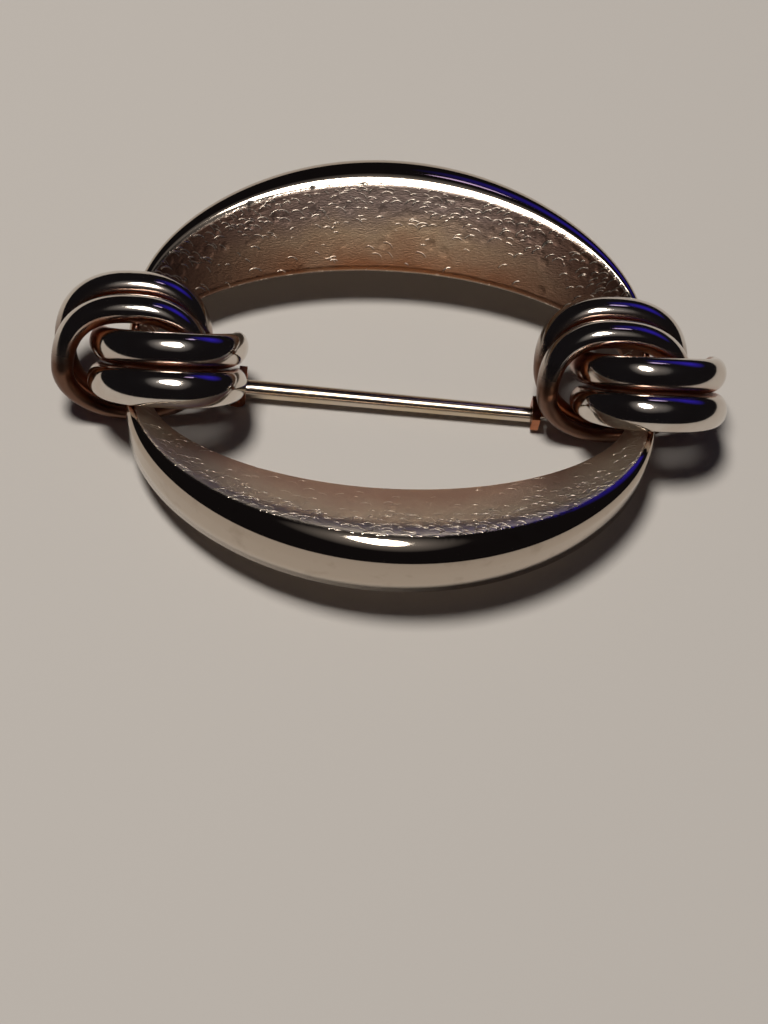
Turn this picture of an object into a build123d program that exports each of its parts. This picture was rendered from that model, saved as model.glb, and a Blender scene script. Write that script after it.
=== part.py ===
from build123d import *
import math
import os

# Oval silver brooch, in millimetres. X runs from knot to knot, Y across the oval towards its
# back, Z up. The origin is under the middle of the brooch, in the plane that the knots rest on.

# Oval band, seen from above
outer_half_length = 17.3
outer_half_width = 15.0
band_width_middle = 6.85
band_width_tip = 1.3

# Oval band, heights from the middle of the knots, at mid length and at the two tips
knot_middle = 3.7
rim_top_middle = 3.25
rim_top_tip = 1.15
inner_edge_middle = -0.3
inner_edge_tip = -0.65
foot_middle = -0.75
foot_tip = -1.8
inner_edge_thickness = 0.45
crown_radius_middle = 1.7
crown_radius_tip = 0.45
section_step = 10

# Neck where the knot wires go round the band
neck_inset = 0.95
neck_reach_in = 1.15
neck_dip = 0.6
neck_lift = 0.9
neck_sharpness = 16

# Knot wires: two interlocked pairs of oval rings at each end
wire_width = 2.3
wire_thickness = 1.75
side_wire_share = 0.76
low_wire_share = 0.48
ring_half_length = 4.18
ring_half_height = 2.9
ring_bow = 2.6
ring_squareness = 2.45
ring_sections = 36
pair_step_across = 2.25
pair_step_down = 0.7
pair_offset = 1.1
knot_inset = 2.4

# Lower halves of the rings, tucked in where they pass under the band
low_squareness = 2.0
low_bow_outer = 0.9
low_bow_inner = 2.1
low_step_down = 0.35

# Pin stem and its hinge under the left knot
stem_height = 0.72
hinge_past_ring = 0.1
hinge_y = 0.22
stem_radius_hinge = 0.58
stem_radius_catch = 0.5
stem_past_catch = 0.8
point_length = 1.0
point_radius = 0.12
eye_radius = 0.6
eye_width = 1.2
rivet_radius = 0.25
running_clearance = 0.05
rivet_seat_clearance = 0.02
side_clearance = 0.06
cheek_thickness = 0.4
strap_gap = 0.08
strap_thickness = 0.25
strap_length = 0.5
strap_offset = 0.3
rivet_head_length = 0.12

# Catch under the right knot
catch_past_ring = 0.25
catch_y = -0.74
catch_length = 0.5
catch_wall = 0.32
catch_clearance = 0.08
catch_roof = 0.25
catch_skirt = 0.35

# Worked out from the sizes above
opening_half_length = outer_half_length - band_width_tip
opening_half_width = outer_half_width - band_width_middle
ring_lean = math.atan2(ring_bow, ring_half_height)
wire_reach_down = math.hypot(wire_thickness / 2 * math.cos(ring_lean), wire_width / 2 * math.sin(ring_lean))
lowest_strand_height = low_wire_share * wire_reach_down
knot_distance = outer_half_length - knot_inset
ring_end_distance = knot_distance - pair_offset - ring_half_length
hinge_x = -(ring_end_distance - hinge_past_ring)
catch_x = ring_end_distance - catch_past_ring


def band_share(angle):
    """How far a section lies from mid length towards a tip, 0 to 1."""
    return math.cos(angle) ** 2


def blend(middle, tip, angle):
    return middle + (tip - middle) * band_share(angle)


def band_section(angle):
    """One section of the band: inner edge, sloped face, crown, outer wall and foot."""
    neck = abs(math.cos(angle)) ** neck_sharpness
    outer_length = outer_half_length - neck_inset * neck
    opening_length = opening_half_length - neck_reach_in * neck
    outer = Vector(outer_length * math.cos(angle), outer_half_width * math.sin(angle), knot_middle)
    inner = Vector(opening_length * math.cos(angle), opening_half_width * math.sin(angle), knot_middle)
    width = (outer - inner).length
    outward = (outer - inner).normalized()
    rim_top = blend(rim_top_middle, rim_top_tip, angle) - neck_dip * neck
    inner_top = blend(inner_edge_middle, inner_edge_tip, angle)
    foot = blend(foot_middle, foot_tip, angle) + neck_lift * neck
    crown = blend(crown_radius_middle, crown_radius_tip, angle)

    centre_across = width - crown
    centre_height = rim_top - crown
    reach = math.hypot(centre_across, centre_height - inner_top)
    tangent_angle = math.atan2(centre_height - inner_top, centre_across) + math.asin(crown / reach)
    slope_end_angle = tangent_angle + math.pi / 2
    crest_angle = slope_end_angle / 2

    def place(across, height):
        return inner + outward * across + Vector(0, 0, height)

    def crown_point(turn):
        return place(centre_across + crown * math.cos(turn), centre_height + crown * math.sin(turn))

    inner_low = place(0, inner_top - inner_edge_thickness)
    inner_high = place(0, inner_top)
    slope_end = crown_point(slope_end_angle)
    wall_top = crown_point(0)
    wall_foot = place(width, foot)
    edges = [
        Edge.make_line(inner_low, inner_high),
        Edge.make_line(inner_high, slope_end),
        Edge.make_three_point_arc(slope_end, crown_point(crest_angle), wall_top),
        Edge.make_line(wall_top, wall_foot),
        Edge.make_line(wall_foot, inner_low),
    ]
    return Wire(edges)


def oval_frame():
    """Half of the band is lofted past both tips, cut there and mirrored."""
    angles = range(-section_step, 180 + 2 * section_step, section_step)
    sections = [band_section(math.radians(angle)) for angle in angles]
    long_half = Solid.make_loft(sections, ruled=False)
    cutter_size = 4 * outer_half_length
    cutter = Pos(0, cutter_size / 2, 0) * Box(cutter_size, cutter_size, cutter_size)
    half = long_half & cutter
    return (half + mirror(half, about=Plane.XZ)).clean()


def squared_oval(turn):
    """Shares of the half length and half height at a turn: an oval, fuller in its upper corners."""
    squareness = ring_squareness if math.sin(turn) > 0 else low_squareness
    along = abs(math.cos(turn)) ** squareness
    up = abs(math.sin(turn)) ** squareness
    radius = (along + up) ** (-1 / squareness)
    return radius * math.cos(turn), radius * math.sin(turn)


def wire_share(up):
    """How thick a ring's wire is against its full size: full on top, least under the band."""
    end_share = 1 if up > 0 else low_wire_share
    return side_wire_share + (end_share - side_wire_share) * abs(up)


def ring_centre_line(knot_x, pair_side, outer_wire, turn):
    """A point on the middle of a ring's wire. The upper half leans more than the lower one."""
    along, up = squared_oval(turn)
    middle = Vector(
        knot_x - pair_side * pair_offset,
        pair_side * (pair_step_across / 2 if outer_wire else -pair_step_across / 2),
        knot_middle + (-pair_step_down / 2 if outer_wire else pair_step_down / 2),
    )
    top = Vector(0, pair_side * ring_bow, ring_half_height)
    bottom = Vector(
        0,
        -pair_side * (low_bow_outer if outer_wire else low_bow_inner) - middle.Y,
        lowest_strand_height + (0 if outer_wire else low_step_down) - middle.Z,
    )
    reach = top * up if up > 0 else bottom * -up
    return middle + Vector(along * ring_half_length, 0, 0) + reach


def knot_ring(knot_x, pair_side, outer_wire):
    """One ring of wire. Side 1 bows to the back at its top, side -1 to the front."""
    flat_side = Vector(0, math.cos(ring_lean), -pair_side * math.sin(ring_lean))
    small_turn = math.radians(0.5)
    sections = []
    for step in range(ring_sections):
        turn = 2 * math.pi * step / ring_sections
        before = ring_centre_line(knot_x, pair_side, outer_wire, turn - small_turn)
        after = ring_centre_line(knot_x, pair_side, outer_wire, turn + small_turn)
        centre = ring_centre_line(knot_x, pair_side, outer_wire, turn)
        share = wire_share(squared_oval(turn)[1])
        plane = Plane(origin=centre, x_dir=flat_side, z_dir=after - before)
        sections.append((plane * Ellipse(share * wire_width / 2, share * wire_thickness / 2)).wire())
    return Solid.make_loft(sections + [sections[0]], ruled=False)


def knot_wires():
    """The eight rings, by name."""
    rings = {}
    for knot, knot_x in (("left", -knot_distance), ("right", knot_distance)):
        for pair, side in (("back", 1), ("front", -1)):
            for place, is_outer in (("inner", False), ("outer", True)):
                rings[f"{knot}_knot_{pair}_{place}_wire"] = knot_ring(knot_x, side, is_outer)
    return rings


def stem_frame():
    """Local frame at the hinge: X along the stem, Z up."""
    along = Vector(catch_x - hinge_x, catch_y - hinge_y, 0)
    return Plane(origin=(hinge_x, hinge_y, stem_height), x_dir=along, z_dir=(0, 0, 1))


def stem_length_to_catch():
    return math.hypot(catch_x - hinge_x, catch_y - hinge_y)


def across_cylinder(radius, length):
    """A cylinder along the hinge axis, at the hinge."""
    return Rot(90, 0, 0) * Cylinder(radius, length)


def pin_stem():
    """The eye round the rivet, the tapered stem and its point."""
    total = stem_length_to_catch() + stem_past_catch
    shank = total - point_length
    profile = Polyline(
        (0, 0), (0, stem_radius_hinge), (shank, stem_radius_catch), (total, point_radius), (total, 0), close=True
    )
    stem = revolve(make_face(profile), axis=Axis.X)
    eye = across_cylinder(eye_radius, eye_width)
    bore = across_cylinder(rivet_radius + running_clearance, 3 * eye_width)
    return stem_frame() * (stem + eye - bore)


def bracket_width():
    return eye_width + 2 * side_clearance + 2 * cheek_thickness


def hinge_bracket():
    """A cheek on each side of the eye and a strap over it, soldered under the knot."""
    width = bracket_width()
    strap_bottom = eye_radius + strap_gap
    strap_top = strap_bottom + strap_thickness
    body = across_cylinder(eye_radius, width)
    body += Pos(strap_offset, 0, strap_top / 2) * Box(strap_length, width, strap_top)
    slot_width = eye_width + 2 * side_clearance
    slot = Pos(0, 0, strap_bottom - 2 * eye_radius) * Box(4 * eye_radius, slot_width, 4 * eye_radius)
    bore = across_cylinder(rivet_radius + rivet_seat_clearance, 2 * width)
    return stem_frame() * (body - slot - bore)


def hinge_rivet():
    """A plain rivet, a little proud of both cheeks."""
    return stem_frame() * across_cylinder(rivet_radius, bracket_width() + 2 * rivet_head_length)


def pin_catch():
    """A plain saddle over the stem, open below so that the stem swings out of it."""
    slot_radius = stem_radius_catch + catch_clearance
    width = 2 * (slot_radius + catch_wall)
    height = slot_radius + catch_roof + catch_skirt
    block = Pos(0, 0, slot_radius + catch_roof - height / 2) * Box(catch_length, width, height)
    slot = Rot(0, 90, 0) * Cylinder(slot_radius, 2 * catch_length)
    slot += Pos(0, 0, -height) * Box(2 * catch_length, 2 * slot_radius, 2 * height)
    return stem_frame() * Pos(stem_length_to_catch(), 0, 0) * (block - slot)


parts = {
    "oval_frame": oval_frame(),
    "pin_stem": pin_stem(),
    "hinge_bracket": hinge_bracket(),
    "hinge_rivet": hinge_rivet(),
    "pin_catch": pin_catch(),
}
parts.update(knot_wires())

os.makedirs("parts", exist_ok=True)
for name, shape in parts.items():
    export_step(shape, f"parts/{name}.step")
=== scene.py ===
import math

import bpy
import numpy as np
from mathutils import Matrix, Vector


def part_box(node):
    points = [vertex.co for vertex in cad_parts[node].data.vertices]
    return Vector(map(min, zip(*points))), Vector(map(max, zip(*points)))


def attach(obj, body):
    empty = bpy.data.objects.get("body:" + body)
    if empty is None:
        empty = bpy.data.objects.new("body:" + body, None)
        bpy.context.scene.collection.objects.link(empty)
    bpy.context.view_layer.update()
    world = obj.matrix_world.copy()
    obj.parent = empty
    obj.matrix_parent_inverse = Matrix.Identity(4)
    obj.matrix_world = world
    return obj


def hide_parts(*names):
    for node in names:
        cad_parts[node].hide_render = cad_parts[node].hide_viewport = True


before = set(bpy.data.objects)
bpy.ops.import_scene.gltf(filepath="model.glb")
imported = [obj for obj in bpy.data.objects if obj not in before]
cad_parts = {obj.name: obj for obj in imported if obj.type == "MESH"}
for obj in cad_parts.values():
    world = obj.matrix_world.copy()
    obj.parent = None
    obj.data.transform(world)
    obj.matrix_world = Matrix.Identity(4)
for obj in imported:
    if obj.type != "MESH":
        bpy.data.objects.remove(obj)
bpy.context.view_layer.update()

MM = 0.001

# Oval band, the same sizes as the solid it stands for, in millimetres
BAND = "oval_frame"
band_low, band_high = (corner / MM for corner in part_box(BAND))
OUTER_HALF_LENGTH = 17.3
OUTER_HALF_WIDTH = band_high.y
BAND_WIDTH = (6.85, 1.3)
RIM_TOP = (3.25, 1.15)
KNOT_MIDDLE = band_high.z - RIM_TOP[0]
INNER_EDGE = (-0.3, -0.65)
FOOT = (-0.75, -1.8)
CROWN_RADIUS = (1.7, 0.45)
INNER_EDGE_THICKNESS = 0.45
NECK_INSET = 0.95
NECK_REACH_IN = 1.15
NECK_DIP = 0.6
NECK_LIFT = 0.9
NECK_SHARPNESS = 16
CORNER_ROUNDING = 0.12

# Mesh density of the band: sections round the oval, rows across the slope and the crown
BAND_SECTIONS = 1150
SLOPE_ROWS = 64
CROWN_ROWS = 12
WALL_ROWS = 1
CORNER_ROWS = 2

# Where the texture starts: well past the crest at the back, and a little before it at the front
TEXTURE_PAST_CREST = math.radians(14)
TEXTURE_LEANS = math.radians(19)

# Punch marks: how many near the rim and near the inner edge, and how far they stay from the rim
PUNCH_SPACING = 0.5
PUNCH_RADIUS = (0.22, 0.36)
PUNCH_DEPTH = (0.01, 0.035)
PUNCH_WALL = 0.16
PUNCH_SHARE = (0.85, 0.15)
PUNCH_SHARE_FADE = 0.1
PUNCH_THINS_OUT = (0.3, 2.6)
PUNCH_START = 0.25
PUNCH_START_WAVES = 0.3
PUNCH_START_FADE = 0.15
PUNCH_RANDOM_CELLS = 128
PUNCH_SEED = 4

# Slow waves that make the texture ragged and patchy: their length and seed
START_WAVES = (2.5, 11)
SHARE_WAVES = (4.0, 12)
WAVE_COUNT = 6

# Fine raised crescents over the punch marks, in metres and radians. Each layer has a spacing,
# a radius and a shift. They rise more at the front, where the slope faces away from the lamp.
CRESCENT_LAYERS = ((0.00080, 0.00044, 0.0), (0.00068, 0.00038, 0.05), (0.00056, 0.00030, 0.09))
CRESCENT_HALF_LINE = 0.00008
CRESCENT_TURN = 0.4
CRESCENT_FLATNESS = 1.6
CRESCENT_OPEN = (0.25, 0.7)
CRESCENT_FAINTEST = 0.35
CRESCENT_RISE = 0.35
CRESCENT_RISE_AT_FRONT = (0.35, 1.35)
RELIEF_HEIGHT = 0.00006
GRAIN_IN_RELIEF = 0.3
GRAIN_STRETCH = (5000.0, 17000.0, 9000.0)

# Knot wires, the same sizes as the solids they stand for
WIRE_WIDTH = 2.3
WIRE_THICKNESS = 1.75
SIDE_WIRE_SHARE = 0.76
LOW_WIRE_SHARE = 0.48
RING_HALF_LENGTH = 4.18
RING_HALF_HEIGHT = 2.9
RING_BOW = 2.6
RING_SQUARENESS = 2.45
PAIR_STEP_ACROSS = 2.25
PAIR_STEP_DOWN = 0.7
PAIR_OFFSET = 1.1
KNOT_DISTANCE = OUTER_HALF_LENGTH - 2.4
LOW_SQUARENESS = 2.0
LOW_BOW = {"outer": 0.9, "inner": 2.1}
LOW_STEP_DOWN = 0.35
RING_SECTIONS = 240
WIRE_SIDES = 40
# The back pair's rings take the painted shade from higher up
BACK_PAIR_DARKER = 0.35

# Camera, fitted to the photograph: the point it looks past, its angles and its lens
IMAGE_WIDTH = 768
FOCAL_PIXELS = 2000
SENSOR_WIDTH = 36.0
PIXELS_PER_MM = 16.3
ELEVATION = math.radians(60)
YAW = math.radians(9.19)
ROLL = math.radians(-10.54)
CENTRE_RIGHT = 1.09
CENTRE_UP = -9.40
CENTRE_HEIGHT = KNOT_MIDDLE + 1.556

# Floor and lights, in metres
FLOOR_HALF_SIZE = 0.5
WARM_WHITE = (1.0, 0.97, 0.93)
GLOW_WHITE = (1.0, 0.95, 0.92)
BLUE = (0.05, 0.025, 1.0)
VIOLET = (0.7, 0.55, 1.0)


def outward(points, faces):
    """The quads of a closed mesh, turned over if they face inwards."""
    first, second, third, fourth = (points[faces[:, corner]] for corner in range(4))
    volume = np.sum(first * (np.cross(second, third) + np.cross(third, fourth)))
    return faces if volume > 0 else faces[:, ::-1]


def add_mesh(name, points, faces):
    """A smooth-shaded closed mesh from points in millimetres."""
    mesh = bpy.data.meshes.new(name)
    faces = outward(points, faces)
    mesh.from_pydata([tuple(p) for p in np.asarray(points) * MM], [], [tuple(f) for f in faces])
    mesh.update()
    mesh.shade_smooth()
    piece = bpy.data.objects.new(name, mesh)
    bpy.context.scene.collection.objects.link(piece)
    return piece


def loop_faces(rings, points):
    """Quads of a grid that closes on itself both ways."""
    ring, point = np.meshgrid(np.arange(rings), np.arange(points), indexing="ij")
    next_ring = (ring + 1) % rings
    next_point = (point + 1) % points
    corners = (ring * points + point, next_ring * points + point, next_ring * points + next_point,
               ring * points + next_point)
    return np.stack([c.ravel() for c in corners], axis=1)


def blend(sizes, share):
    middle, tip = sizes
    return middle + (tip - middle) * share


def rounded(corner, before, after, rounding, steps):
    """Points that round off one corner of the band's section."""
    into = before - corner
    out = after - corner
    start = corner + into / np.linalg.norm(into, axis=0) * rounding
    end = corner + out / np.linalg.norm(out, axis=0) * rounding
    turns = np.linspace(0, 1, steps)
    return [(1 - t) ** 2 * start + 2 * t * (1 - t) * corner + t ** 2 * end for t in turns]


def band_grid(angles):
    """Rows of the band as (across, height) pairs, the plan directions, and where each row lies."""
    cosine, sine = np.cos(angles), np.sin(angles)
    share = cosine ** 2
    neck = np.abs(cosine) ** NECK_SHARPNESS
    outer = np.array([(OUTER_HALF_LENGTH - NECK_INSET * neck) * cosine, OUTER_HALF_WIDTH * sine])
    opening_half_width = OUTER_HALF_WIDTH - BAND_WIDTH[0]
    opening_half_length = OUTER_HALF_LENGTH - BAND_WIDTH[1] - NECK_REACH_IN * neck
    inner = np.array([opening_half_length * cosine, opening_half_width * sine])
    width = np.linalg.norm(outer - inner, axis=0)
    outward = (outer - inner) / width
    rim_top = blend(RIM_TOP, share) - NECK_DIP * neck
    inner_top = blend(INNER_EDGE, share)
    foot = blend(FOOT, share) + NECK_LIFT * neck
    crown = blend(CROWN_RADIUS, share)

    centre_across = width - crown
    centre_height = rim_top - crown
    reach = np.hypot(centre_across, centre_height - inner_top)
    tangent = np.arctan2(centre_height - inner_top, centre_across) + np.arcsin(crown / reach)
    slope_end_turn = tangent + math.pi / 2

    def on_crown(turn):
        return np.array([centre_across + crown * np.cos(turn), centre_height + crown * np.sin(turn)])

    inner_low = np.array([0 * width, inner_top - INNER_EDGE_THICKNESS])
    inner_high = np.array([0 * width, inner_top])
    wall_foot = np.array([width, foot])
    slope_end = on_crown(slope_end_turn)
    wall_top = on_crown(0 * width)

    edge = rounded(inner_low, wall_foot, inner_high, CORNER_ROUNDING, CORNER_ROWS)
    lip = rounded(inner_high, inner_low, slope_end, CORNER_ROUNDING, CORNER_ROWS)
    slope = [lip[-1] + (slope_end - lip[-1]) * t for t in np.linspace(0, 1, SLOPE_ROWS + 1)[1:-1]]
    turns = [slope_end_turn * (1 - t) for t in np.linspace(0, 1, CROWN_ROWS)]
    crest = [on_crown(turn) for turn in turns]
    heel = rounded(wall_foot, wall_top, inner_low, CORNER_ROUNDING, CORNER_ROWS)
    wall = [wall_top + (heel[0] - wall_top) * t for t in np.linspace(0, 1, WALL_ROWS + 2)[1:-1]]
    rows = np.array(edge + lip + slope + crest + wall + heel)

    texture_turn = math.pi / 2 + TEXTURE_PAST_CREST + TEXTURE_LEANS * sine
    past_crest = np.full(rows[:, 0].shape, -1.0)
    first_slope = len(edge) + len(lip)
    first_crest = first_slope + len(slope)
    for row in range(len(edge), first_crest):
        past_crest[row] = np.linalg.norm(rows[row] - slope_end, axis=0)
        past_crest[row] += crown * (slope_end_turn - texture_turn)
    for row, turn in enumerate(turns, first_crest):
        past_crest[row] = crown * (turn - texture_turn)
    return rows, inner, outward, past_crest


def punch_depth(x, y, share):
    """Depth of the flat-bottomed punch marks at points of the plan, where share of them are struck."""
    random = np.random.default_rng(PUNCH_SEED).random((PUNCH_RANDOM_CELLS, PUNCH_RANDOM_CELLS, 5))
    column = np.floor(x / PUNCH_SPACING).astype(int)
    line = np.floor(y / PUNCH_SPACING).astype(int)
    depth = np.zeros_like(x)
    for across in (-1, 0, 1):
        for along in (-1, 0, 1):
            cell = random[(column + across) % PUNCH_RANDOM_CELLS, (line + along) % PUNCH_RANDOM_CELLS]
            centre_x = (column + across + cell[..., 0]) * PUNCH_SPACING
            centre_y = (line + along + cell[..., 1]) * PUNCH_SPACING
            radius = blend(PUNCH_RADIUS, cell[..., 2])
            struck = np.clip((share - cell[..., 4]) / PUNCH_SHARE_FADE, 0, 1)
            inside = np.clip((radius - np.hypot(x - centre_x, y - centre_y)) / PUNCH_WALL, 0, 1)
            wall = inside * inside * (3 - 2 * inside)
            depth = np.maximum(depth, blend(PUNCH_DEPTH, cell[..., 3]) * wall * struck)
    return depth


def slow_waves(x, y, size, seed):
    """Smooth variation over the plan, mostly between -1 and 1."""
    random = np.random.default_rng(seed)
    total = np.zeros_like(x)
    for _ in range(WAVE_COUNT):
        turn, phase = random.uniform(0, 2 * math.pi, 2)
        length = size * random.uniform(0.6, 1.6)
        total += np.sin((x * math.cos(turn) + y * math.sin(turn)) * 2 * math.pi / length + phase)
    return total / 3.5


def oval_band():
    """The band with its punched slope, in place of the plain solid."""
    angles = np.linspace(0, 2 * math.pi, BAND_SECTIONS, endpoint=False)
    rows, inner, outward, past_crest = band_grid(angles)
    across, height = rows[:, 0], rows[:, 1]
    x = inner[0] + outward[0] * across
    y = inner[1] + outward[1] * across
    z = KNOT_MIDDLE + height

    past_start = past_crest - PUNCH_START + PUNCH_START_WAVES * slow_waves(x, y, *START_WAVES)
    start = np.clip(past_start / PUNCH_START_FADE, 0, 1)
    thins_from, thins_to = PUNCH_THINS_OUT
    thinned = np.clip((past_crest - thins_from) / (thins_to - thins_from), 0, 1)
    patchy = np.clip(0.9 + 0.5 * slow_waves(x, y, *SHARE_WAVES), 0.3, 1.2)
    z = z - punch_depth(x, y, blend(PUNCH_SHARE, thinned) * patchy) * start

    points = np.stack([x, y, z], axis=-1)
    grid = points.transpose(1, 0, 2)
    sections, count = grid.shape[:2]
    piece = add_mesh("band", grid.reshape(-1, 3), loop_faces(sections, count))
    past = piece.data.attributes.new("past_crest", "FLOAT", "POINT")
    past.data.foreach_set("value", past_crest.T.ravel().astype(np.float32))
    return piece


def squared_oval(turns):
    """Shares of the half length and half height: an oval, fuller in its upper corners."""
    squareness = np.where(np.sin(turns) > 0, RING_SQUARENESS, LOW_SQUARENESS)
    radius = (np.abs(np.cos(turns)) ** squareness + np.abs(np.sin(turns)) ** squareness) ** (-1 / squareness)
    return radius * np.cos(turns), radius * np.sin(turns)


def ring_centre_line(knot_side, pair_side, place, along, up):
    """Points on the middle of a ring's wire. The upper half leans more than the lower one."""
    outer = place == "outer"
    middle = np.array([
        knot_side * KNOT_DISTANCE - pair_side * PAIR_OFFSET,
        pair_side * PAIR_STEP_ACROSS / 2 * (1 if outer else -1),
        KNOT_MIDDLE + PAIR_STEP_DOWN / 2 * (-1 if outer else 1),
    ])
    lean = math.atan2(RING_BOW, RING_HALF_HEIGHT)
    reach_down = math.hypot(WIRE_THICKNESS / 2 * math.cos(lean), WIRE_WIDTH / 2 * math.sin(lean))
    lowest = LOW_WIRE_SHARE * reach_down + (0 if outer else LOW_STEP_DOWN)
    top = np.array([0, pair_side * RING_BOW, RING_HALF_HEIGHT])
    bottom = np.array([0, -pair_side * LOW_BOW[place] - middle[1], lowest - middle[2]])
    reach = np.outer(np.maximum(up, 0), top) + np.outer(np.maximum(-up, 0), bottom)
    return middle + np.outer(along * RING_HALF_LENGTH, (1, 0, 0)) + reach


def ring_mesh(name, knot_side, pair_side, place):
    """One oval wire ring, in the place of its solid, with its hole side marked."""
    turns = np.linspace(0, 2 * math.pi, RING_SECTIONS, endpoint=False)
    along, up = squared_oval(turns)
    path = ring_centre_line(knot_side, pair_side, place, along, up)
    forward = np.roll(path, -1, axis=0) - np.roll(path, 1, axis=0)
    forward /= np.linalg.norm(forward, axis=1)[:, None]
    lean = math.atan2(RING_BOW, RING_HALF_HEIGHT)
    flat_side = np.array([0, math.cos(lean), -pair_side * math.sin(lean)])
    across = flat_side - np.outer(forward @ flat_side, (1, 1, 1)) * forward
    across /= np.linalg.norm(across, axis=1)[:, None]
    out = np.cross(forward, across)
    out *= np.sign(np.sum(out * (path - path.mean(axis=0))))
    share = SIDE_WIRE_SHARE + (np.where(up > 0, 1, LOW_WIRE_SHARE) - SIDE_WIRE_SHARE) * np.abs(up)
    around = np.linspace(0, 2 * math.pi, WIRE_SIDES, endpoint=False)
    thick = WIRE_THICKNESS / 2 * share[:, None, None] * np.cos(around)[None, :, None] * out[:, None]
    wide = WIRE_WIDTH / 2 * share[:, None, None] * np.sin(around)[None, :, None] * across[:, None]
    points = path[:, None] + thick + wide
    piece = add_mesh(name + "_round", points.reshape(-1, 3), loop_faces(RING_SECTIONS, WIRE_SIDES))
    hole_side = piece.data.attributes.new("hole_side", "FLOAT", "POINT")
    hole_side.data.foreach_set("value", np.tile(-np.cos(around), RING_SECTIONS).astype(np.float32))
    # Painted shade with tarnish: strongest low down on each ring, and from higher up on the back pair
    low_tarnish_and_shade = piece.data.attributes.new("low_tarnish_and_shade", "FLOAT", "POINT")
    darker = BACK_PAIR_DARKER if pair_side > 0 else 0
    low_tarnish_and_shade.data.foreach_set("value", np.repeat(darker - up, WIRE_SIDES).astype(np.float32))
    return piece


def add_camera():
    """The photograph's viewpoint: yaw about the vertical, elevation, then roll."""
    right = Vector((1, 0, 0))
    up = Vector((0, math.sin(ELEVATION), math.cos(ELEVATION)))
    back = Vector((0, -math.cos(ELEVATION), math.sin(ELEVATION)))
    distance = FOCAL_PIXELS / PIXELS_PER_MM
    turned = Matrix.Rotation(-YAW, 3, "Z")
    place = turned @ (right * CENTRE_RIGHT + up * CENTRE_UP + back * distance)
    across = turned @ (right * math.cos(ROLL) - up * math.sin(ROLL))
    rise = turned @ (right * math.sin(ROLL) + up * math.cos(ROLL))
    back = turned @ back
    camera = bpy.data.objects.new("camera", bpy.data.cameras.new("camera"))
    bpy.context.scene.collection.objects.link(camera)
    axes = Matrix((across, rise, back)).transposed().to_4x4()
    axes.translation = (place + Vector((0, 0, CENTRE_HEIGHT))) * MM
    camera.matrix_world = axes
    camera.data.sensor_fit = "HORIZONTAL"
    camera.data.sensor_width = SENSOR_WIDTH
    camera.data.lens = FOCAL_PIXELS / IMAGE_WIDTH * SENSOR_WIDTH
    camera.data.clip_start = 0.001
    bpy.context.scene.camera = camera


class Nodes:
    """A small helper for building one material's node tree."""

    def __init__(self, name):
        self.material = bpy.data.materials.new(name)
        self.material.use_nodes = True
        self.tree = self.material.node_tree
        self.tree.nodes.clear()
        self.shader = self.add("ShaderNodeBsdfPrincipled")
        output = self.add("ShaderNodeOutputMaterial")
        self.link(self.shader.outputs["BSDF"], output.inputs["Surface"])

    def add(self, kind, **values):
        node = self.tree.nodes.new(kind)
        for key, value in values.items():
            if key in node.inputs:
                node.inputs[key].default_value = value
            else:
                setattr(node, key, value)
        return node

    def link(self, output, socket):
        self.tree.links.new(output, socket)

    def position(self):
        return self.add("ShaderNodeNewGeometry").outputs["Position"]

    def noise(self, scale, detail=3.0, vector=None):
        node = self.add("ShaderNodeTexNoise", Scale=scale, Detail=detail)
        self.link(vector or self.position(), node.inputs["Vector"])
        return node.outputs["Fac"]

    def ramp(self, factor, stops):
        node = self.add("ShaderNodeValToRGB")
        elements = node.color_ramp.elements
        while len(elements) < len(stops):
            elements.new(0.5)
        for element, (place, colour) in zip(elements, stops):
            element.position = place
            element.color = (*colour, 1)
        self.link(factor, node.inputs["Fac"])
        return node.outputs["Color"]

    def map_range(self, value, low, high, out_low, out_high, interpolation="LINEAR"):
        node = self.add("ShaderNodeMapRange", interpolation_type=interpolation)
        for key, number in (("From Min", low), ("From Max", high), ("To Min", out_low), ("To Max", out_high)):
            node.inputs[key].default_value = number
        self.link(value, node.inputs["Value"])
        return node.outputs["Result"]

    def mix(self, factor, first, second, blend_type="MIX"):
        node = self.add("ShaderNodeMix", data_type="RGBA", blend_type=blend_type)
        for socket, value in ((node.inputs[0], factor), (node.inputs[6], first), (node.inputs[7], second)):
            if isinstance(value, bpy.types.NodeSocket):
                self.link(value, socket)
            elif isinstance(value, tuple):
                socket.default_value = (*value, 1)
            else:
                socket.default_value = value
        return node.outputs[2]

    def operate(self, kind, operation, values):
        node = self.add(kind, operation=operation)
        for socket, value in zip(node.inputs, values):
            if isinstance(value, bpy.types.NodeSocket):
                self.link(value, socket)
            else:
                socket.default_value = value
        return node.outputs[0]

    def vector_math(self, operation, *values):
        return self.operate("ShaderNodeVectorMath", operation, values)

    def math(self, operation, *values):
        return self.operate("ShaderNodeMath", operation, values)

    def parts(self, vector):
        node = self.add("ShaderNodeSeparateXYZ")
        self.link(vector, node.inputs["Vector"])
        return tuple(node.outputs)

    def bump(self, height, strength, distance):
        node = self.add("ShaderNodeBump", Strength=strength, Distance=distance)
        self.link(height, node.inputs["Height"])
        return node.outputs["Normal"]
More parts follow.
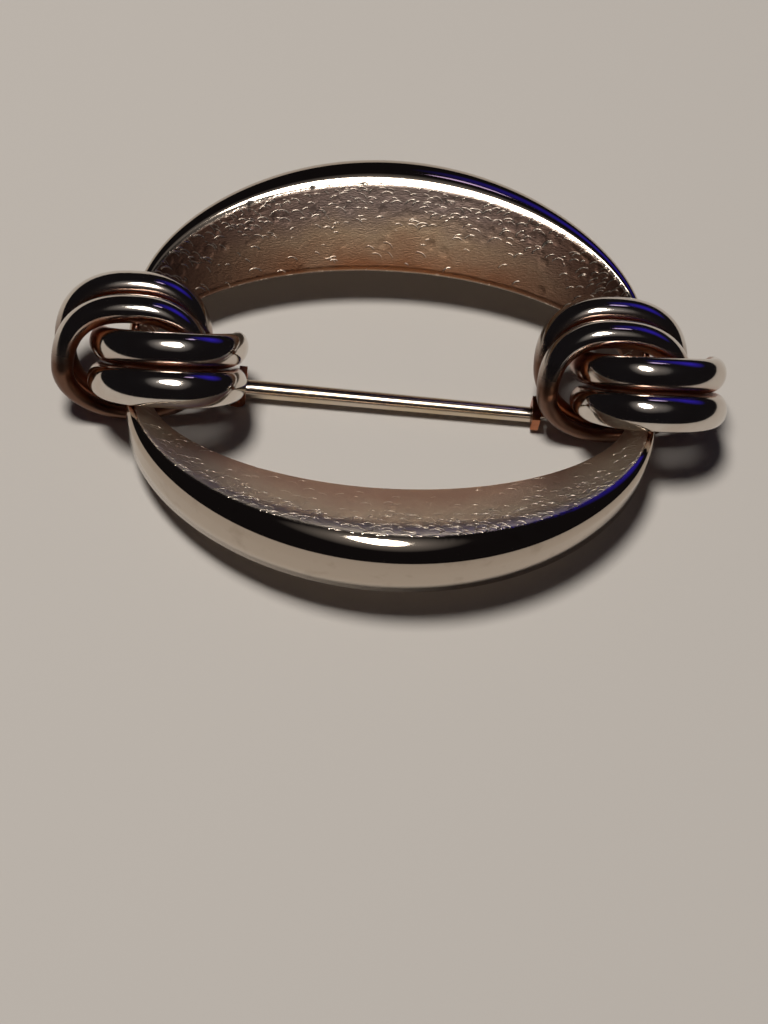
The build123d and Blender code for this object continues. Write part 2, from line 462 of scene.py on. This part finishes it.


# Colours of the metal: clean, worn and tarnished, and colours that paint shade, glints and reflections into
# it
SILVER = (0.74, 0.69, 0.63)
WARM_SILVER = (0.66, 0.58, 0.51)
# Polished band: stain-dulled silver, dimmed further as painted shade for the shaded floor the wall reflects
SHADED_BAND_SILVER = (0.56, 0.48, 0.40)
BRASSY_SILVER = (0.66, 0.54, 0.38)
# Crease colour: reddish tarnish, darkened further as painted shade and warm reflection deep between strands
CREASE_TARNISH_AND_SHADE = (0.36, 0.12, 0.055)
# Hole side colour: reddish tarnish, painted brighter as a warm reflection of the strands across the gap
HOLE_TARNISH_AND_REFLECTION = (0.50, 0.20, 0.10)
COPPER_TARNISH = (0.40, 0.175, 0.085)
# Crescent marks: worn raised edges, lightened further as a painted glint
WORN_AND_GLINT_SILVER = (0.95, 0.82, 0.68)
BROWN_TARNISH = (0.53, 0.365, 0.235)
GREY_TARNISH = (0.32, 0.235, 0.20)
# Darker tone for the back slope towards its ends
DARK_END_TONE = (0.17, 0.085, 0.055)
# Front half of the slope: painted light, lighter than the back
FRONT_LIT_SILVER = (0.94, 0.81, 0.65)
FRONT_LIT_TARNISH = (0.70, 0.47, 0.35)
# Low parts of the rings: tarnish darkened as painted shade
LOW_SHADE_AND_TARNISH = (0.15, 0.07, 0.042)
STAIN = (0.40, 0.33, 0.26)


def crease_factor(nodes, distance):
    """1 in the open and 0 deep in a crease."""
    node = nodes.add("ShaderNodeAmbientOcclusion", Distance=distance)
    node.samples = 8
    return node.outputs["AO"]


def attribute(nodes, name):
    return nodes.add("ShaderNodeAttribute", attribute_name=name).outputs["Fac"]


def polished_wire():
    """Bright outside; reddish tarnish with painted shade in the creases, tarnish with a painted warm
    reflection on the hole side, and tarnish with painted shade low down on each ring.
    """
    nodes = Nodes("polished_wire")
    clouds = nodes.noise(700.0)
    tone = nodes.mix(nodes.map_range(clouds, 0.35, 0.7, 0.0, 1.0), SILVER, WARM_SILVER)
    # Hole side of each ring: tarnish with a painted warm reflection, patchy by the clouds
    hole = nodes.math("ADD", attribute(nodes, "hole_side"), nodes.map_range(clouds, 0.3, 0.7, -0.25, 0.25))
    in_hole = nodes.map_range(hole, 0.15, 0.65, 0.0, 1.0)
    # Ambient occlusion mask: tarnish with painted shade in the creases between strands
    creased = nodes.map_range(crease_factor(nodes, 0.0014), 0.25, 0.9, 1.0, 0.0)
    # Painted shade with tarnish low down on each ring
    low_tarnish_and_shade = nodes.map_range(attribute(nodes, "low_tarnish_and_shade"), -0.2, 0.25, 0.0, 0.95)
    colour = nodes.mix(in_hole, tone, HOLE_TARNISH_AND_REFLECTION)
    colour = nodes.mix(low_tarnish_and_shade, colour, LOW_SHADE_AND_TARNISH)
    colour = nodes.mix(creased, colour, CREASE_TARNISH_AND_SHADE)
    # Roughness rises where the tarnish and painted shade masks are
    rough_tarnish_and_shade = nodes.math("MAXIMUM", nodes.math("MAXIMUM", in_hole, low_tarnish_and_shade), creased)
    nodes.link(colour, nodes.shader.inputs["Base Color"])
    nodes.shader.inputs["Metallic"].default_value = 1.0
    nodes.link(nodes.map_range(rough_tarnish_and_shade, 0.0, 1.0, 0.09, 0.36), nodes.shader.inputs["Roughness"])
    nodes.link(nodes.bump(nodes.noise(9000.0, 2.0), 0.04, 0.00003), nodes.shader.inputs["Normal"])
    return nodes.material


def crescents(nodes, spacing, radius, share, shift):
    """Height of thin raised crescents in the plan, open to the front: 1 on their crests."""
    plan = nodes.vector_math("MULTIPLY", nodes.position(), (1.0, 1.0, 0.0))
    plan = nodes.vector_math("ADD", plan, (shift, 0.0, 0.0))
    cells = nodes.add("ShaderNodeTexVoronoi", Scale=1 / spacing)
    cells.voronoi_dimensions = "2D"
    nodes.link(plan, cells.inputs["Vector"])
    chance, size, turn = nodes.parts(cells.outputs["Color"])
    offset = nodes.vector_math("SUBTRACT", plan, cells.outputs["Position"])
    rotate = nodes.add("ShaderNodeVectorRotate", rotation_type="Z_AXIS")
    nodes.link(offset, rotate.inputs["Vector"])
    nodes.link(nodes.map_range(turn, 0.0, 1.0, -CRESCENT_TURN, CRESCENT_TURN), rotate.inputs["Angle"])
    side, back, _ = nodes.parts(rotate.outputs["Vector"])
    back = nodes.math("MULTIPLY", back, CRESCENT_FLATNESS)
    own_radius = nodes.map_range(size, 0.0, 1.0, 0.7 * radius, 1.1 * radius)
    squares = nodes.math("ADD", nodes.math("MULTIPLY", side, side), nodes.math("MULTIPLY", back, back))
    off_line = nodes.math("ABSOLUTE", nodes.math("SUBTRACT", nodes.math("SQRT", squares), own_radius))
    line = nodes.map_range(off_line, 0.0, CRESCENT_HALF_LINE, 1.0, 0.0, "SMOOTHSTEP")
    open_front = nodes.map_range(nodes.math("DIVIDE", back, own_radius), *CRESCENT_OPEN, 0.0, 1.0)
    struck = nodes.math("LESS_THAN", chance, share)
    struck = nodes.math("MULTIPLY", struck, nodes.map_range(turn, 0.0, 1.0, 1.0, CRESCENT_FAINTEST))
    return nodes.math("MULTIPLY", nodes.math("MULTIPLY", line, open_front), struck)


def satin_grain(nodes):
    """Fine brushed grain, longest along the brooch."""
    return nodes.noise(1.0, 3.0, nodes.vector_math("MULTIPLY", nodes.position(), GRAIN_STRETCH))


def slope_colour(nodes, past, at_front, along):
    """Grey at the rim to copper inside and darker towards the knots; painted light makes the front half
    lighter.
    """
    clouds = nodes.noise(450.0, 4.0)
    depth = nodes.math("ADD", past, nodes.map_range(clouds, 0.0, 1.0, -1.3, 1.3))
    stops = [(0.0, GREY_TARNISH), (0.25, GREY_TARNISH), (0.6, BROWN_TARNISH), (1.0, COPPER_TARNISH)]
    back_tone = nodes.ramp(nodes.map_range(depth, 0.0, 5.2, 0.0, 1.0), stops)
    # The back half turns darker towards its ends
    to_ends = nodes.map_range(nodes.math("ABSOLUTE", along), 0.003, 0.012, 0.0, 0.9)
    back_tone = nodes.mix(to_ends, back_tone, DARK_END_TONE)
    # Painted light: the front half of the slope is lighter than the back
    front_lit_tone = nodes.mix(nodes.map_range(depth, 2.0, 5.2, 0.0, 1.0), FRONT_LIT_SILVER, FRONT_LIT_TARNISH)
    return nodes.mix(at_front, back_tone, front_lit_tone)


def crescent_marks(nodes, past):
    """All layers of crescents, densest beside the rim."""
    share = nodes.map_range(past, 0.2, 3.0, 0.95, 0.12)
    layers = [crescents(nodes, spacing, radius, share, shift) for spacing, radius, shift in CRESCENT_LAYERS]
    marks = layers[0]
    for layer in layers[1:]:
        marks = nodes.math("MAXIMUM", marks, layer)
    return marks


def slope_relief(nodes, past, at_front, marks, grain):
    """Height of the crescents and the grain."""
    rise = nodes.map_range(past, 0.2, 1.6, *CRESCENT_RISE_AT_FRONT)
    rise = nodes.math("ADD", nodes.math("MULTIPLY", at_front, rise), CRESCENT_RISE)
    raised = nodes.math("MULTIPLY", marks, rise)
    return nodes.math("ADD", raised, nodes.math("MULTIPLY", grain, GRAIN_IN_RELIEF))


def band_silver():
    """Polished rim and wall, and the textured satin slope."""
    nodes = Nodes("band_silver")
    past = attribute(nodes, "past_crest")
    textured = nodes.map_range(past, 0.0, 0.2, 0.0, 1.0)
    along, across, _ = nodes.parts(nodes.position())
    at_front = nodes.map_range(across, -0.005, 0.001, 1.0, 0.0)
    marks = crescent_marks(nodes, past)
    grain = satin_grain(nodes)

    stains = nodes.map_range(nodes.noise(900.0, 5.0), 0.56, 0.75, 0.0, 0.55)
    # Polished rim and wall: silver with real stains, dimmed as painted shade
    polished = nodes.mix(stains, SHADED_BAND_SILVER, STAIN)
    colour = nodes.mix(textured, polished, slope_colour(nodes, past, at_front, along))
    # Ambient occlusion mask: tarnish with painted shade in the band's creases beside the knots
    creased = nodes.map_range(crease_factor(nodes, 0.0018), 0.1, 0.6, 1.0, 0.0)
    colour = nodes.mix(creased, colour, CREASE_TARNISH_AND_SHADE)
    # Crescent marks lighter: worn raised edges and a painted glint
    colour = nodes.mix(nodes.math("MULTIPLY", marks, textured), colour, WORN_AND_GLINT_SILVER)
    nodes.link(colour, nodes.shader.inputs["Base Color"])
    nodes.shader.inputs["Metallic"].default_value = 1.0

    relief = nodes.math("MULTIPLY", slope_relief(nodes, past, at_front, marks, grain), textured)
    nodes.link(nodes.bump(relief, 1.0, RELIEF_HEIGHT), nodes.shader.inputs["Normal"])
    satin = nodes.map_range(grain, 0.3, 0.7, 0.38, 0.54)
    satin = nodes.mix(marks, satin, nodes.map_range(at_front, 0.0, 1.0, 0.26, 0.30))
    nodes.link(nodes.mix(textured, (0.06, 0.06, 0.06), satin), nodes.shader.inputs["Roughness"])
    return nodes.material


def pin_silver():
    nodes = Nodes("pin_silver")
    clouds = nodes.noise(500.0)
    tone = nodes.mix(nodes.map_range(clouds, 0.3, 0.7, 0.0, 1.0), WARM_SILVER, BRASSY_SILVER)
    nodes.link(tone, nodes.shader.inputs["Base Color"])
    nodes.shader.inputs["Metallic"].default_value = 1.0
    nodes.link(nodes.map_range(clouds, 0.3, 0.7, 0.14, 0.24), nodes.shader.inputs["Roughness"])
    return nodes.material


def dull_fittings():
    """The hinge and the catch, brown with tarnish under the knots."""
    nodes = Nodes("dull_fittings")
    clouds = nodes.noise(800.0)
    tone = nodes.mix(nodes.map_range(clouds, 0.3, 0.7, 0.0, 1.0), HOLE_TARNISH_AND_REFLECTION, CREASE_TARNISH_AND_SHADE)
    nodes.link(tone, nodes.shader.inputs["Base Color"])
    nodes.shader.inputs["Metallic"].default_value = 1.0
    nodes.link(nodes.map_range(clouds, 0.3, 0.7, 0.28, 0.42), nodes.shader.inputs["Roughness"])
    return nodes.material


def floor_material():
    nodes = Nodes("pale_floor")
    nodes.shader.inputs["Base Color"].default_value = (0.60, 0.56, 0.515, 1)
    nodes.shader.inputs["Roughness"].default_value = 0.9
    nodes.shader.inputs["Specular IOR Level"].default_value = 0.1
    return nodes.material


def set_material(piece, material):
    if piece.data.materials:
        for slot in piece.material_slots:
            slot.material = material
    else:
        piece.data.materials.append(material)


def add_floor():
    mesh = bpy.data.meshes.new("floor")
    corners = [(x * FLOOR_HALF_SIZE, y * FLOOR_HALF_SIZE, 0) for x, y in ((-1, -1), (1, -1), (1, 1), (-1, 1))]
    mesh.from_pydata(corners, [], [(0, 1, 2, 3)])
    floor = bpy.data.objects.new("floor", mesh)
    bpy.context.scene.collection.objects.link(floor)
    set_material(floor, floor_material())


def fade_out(light):
    """Full strength in the middle of the light and none at its edge."""
    light.use_nodes = True
    tree = light.node_tree
    place = tree.nodes.new("ShaderNodeNewGeometry")
    distance = tree.nodes.new("ShaderNodeVectorMath")
    distance.operation = "DISTANCE"
    distance.inputs[1].default_value = (0.5, 0.5, 0)
    fade = tree.nodes.new("ShaderNodeMapRange")
    fade.inputs["From Max"].default_value = 0.5
    fade.inputs["To Min"].default_value = 1.0
    fade.inputs["To Max"].default_value = 0.0
    tree.links.new(place.outputs["Parametric"], distance.inputs[0])
    tree.links.new(distance.outputs["Value"], fade.inputs["Value"])
    tree.links.new(fade.outputs["Result"], tree.nodes["Emission"].inputs["Strength"])


def add_light(name, direction, distance, size, power, colour, in_reflections=True, in_shade=True):
    """An oval soft light at a direction from the brooch, aimed at it."""
    light = bpy.data.lights.new(name, "AREA")
    light.shape = "ELLIPSE"
    light.size, light.size_y = size
    light.energy = power
    light.color = colour
    lamp = bpy.data.objects.new(name, light)
    bpy.context.scene.collection.objects.link(lamp)
    toward = Vector(direction).normalized()
    lamp.location = toward * distance
    lamp.rotation_euler = toward.to_track_quat("Z", "Y").to_euler()
    lamp.visible_glossy = in_reflections
    lamp.visible_diffuse = in_shade
    return light


def add_world():
    """Dark room for the reflections, soft fill for the floor."""
    world = bpy.data.worlds.new("room")
    world.use_nodes = True
    tree = world.node_tree
    background = tree.nodes["Background"]
    background.inputs["Strength"].default_value = 1.0
    path = tree.nodes.new("ShaderNodeLightPath")
    mix = tree.nodes.new("ShaderNodeMix")
    mix.data_type = "RGBA"
    mix.inputs[6].default_value = (0.008, 0.007, 0.008, 1)
    mix.inputs[7].default_value = (0.015, 0.015, 0.023, 1)
    tree.links.new(path.outputs["Is Diffuse Ray"], mix.inputs[0])
    tree.links.new(mix.outputs[2], background.inputs["Color"])
    bpy.context.scene.world = world
    bpy.context.scene.view_settings.view_transform = "Standard"


def add_lights():
    """A key light for the floor, and a lamp, its glow and a blue screen that the metal reflects."""
    add_light("soft_key", (-0.20, 0.06, 0.97), 0.6, (0.15, 0.15), 2.92, WARM_WHITE, in_reflections=False)
    add_light("lamp", (0.02, -0.13, 1.0), 0.6, (0.12, 0.27), 1.02, WARM_WHITE, in_shade=False)
    glow = add_light("lamp_glow", (0.02, -0.18, 0.98), 0.7, (0.50, 0.90), 0.33, GLOW_WHITE, in_shade=False)
    fade_out(glow)
    screen = add_light("blue_screen", (0.50, 0.62, 0.62), 0.6, (0.55, 0.38), 0.24, BLUE, in_shade=False)
    fade_out(screen)
    add_light("screen_core", (0.20, 0.52, 0.83), 0.58, (0.08, 0.06), 0.016, VIOLET, in_shade=False)


add_camera()
add_floor()
add_world()
add_lights()

band = oval_band()
set_material(band, band_silver())
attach(band, "brooch")
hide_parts(BAND)

wire_material = polished_wire()
for knot, knot_side in (("left", -1), ("right", 1)):
    for pair, pair_side in (("back", 1), ("front", -1)):
        for place in ("inner", "outer"):
            node = f"{knot}_knot_{pair}_{place}_wire"
            wire = ring_mesh(node, knot_side, pair_side, place)
            set_material(wire, wire_material)
            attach(wire, "brooch")
            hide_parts(node)

set_material(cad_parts["pin_stem"], pin_silver())
fittings_material = dull_fittings()
for node in ("hinge_bracket", "hinge_rivet", "pin_catch"):
    set_material(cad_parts[node], fittings_material)
